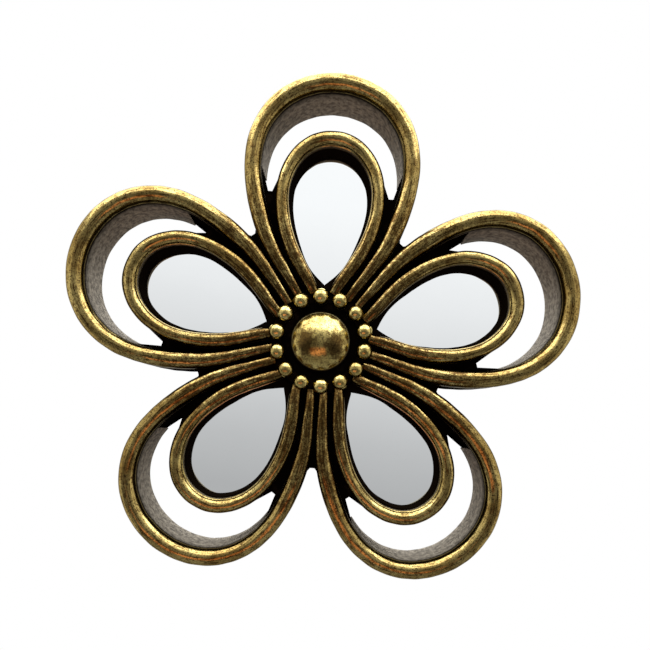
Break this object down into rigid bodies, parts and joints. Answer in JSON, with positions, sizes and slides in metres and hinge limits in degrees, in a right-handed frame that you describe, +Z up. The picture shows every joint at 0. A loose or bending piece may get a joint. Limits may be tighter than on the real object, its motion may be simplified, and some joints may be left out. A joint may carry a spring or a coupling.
{
  "type": "flower wall mirror",
  "caption": "Wall mirror shaped like an open flower: looped gilt petals, each with a teardrop mirror in an inner loop, round a domed hub ringed with small beads.",
  "frame": {"origin": "centre of the hub on the flat back that lies on the wall", "axes": "+Y points into the wall, -Y is the front, +Z is up through the top petal, +X is to the right as the front is seen"},
  "size_m": [0.2512, 0.028, 0.2433],
  "materials": {
    "gilt_resin": "cast resin, antiqued gold leaf worn to brown, dark wash in the hollows",
    "dark_resin": "cast resin under a near black brown wash",
    "mirror_glass": "silvered float glass",
    "hardboard": "plain brown hardboard",
    "zinc_steel": "zinc plated"
  },
  "bodies": {
    "root": {"outer_petal_1": "gilt_resin", "inner_petal_1": "gilt_resin", "mirror_1": "mirror_glass", "backing_board_1": "hardboard", "outer_petal_2": "gilt_resin", "inner_petal_2": "gilt_resin", "mirror_2": "mirror_glass", "backing_board_2": "hardboard", "outer_petal_3": "gilt_resin", "inner_petal_3": "gilt_resin", "mirror_3": "mirror_glass", "backing_board_3": "hardboard", "outer_petal_4": "gilt_resin", "inner_petal_4": "gilt_resin", "mirror_4": "mirror_glass", "backing_board_4": "hardboard", "outer_petal_5": "gilt_resin", "inner_petal_5": "gilt_resin", "mirror_5": "mirror_glass", "backing_board_5": "hardboard", "hub_plate": "dark_resin", "centre_dome": "gilt_resin", "bead_ring": "gilt_resin", "keyhole_plate": "zinc_steel", "upper_hanger_screw": "zinc_steel", "lower_hanger_screw": "zinc_steel"}
  },
  "joints": []
}
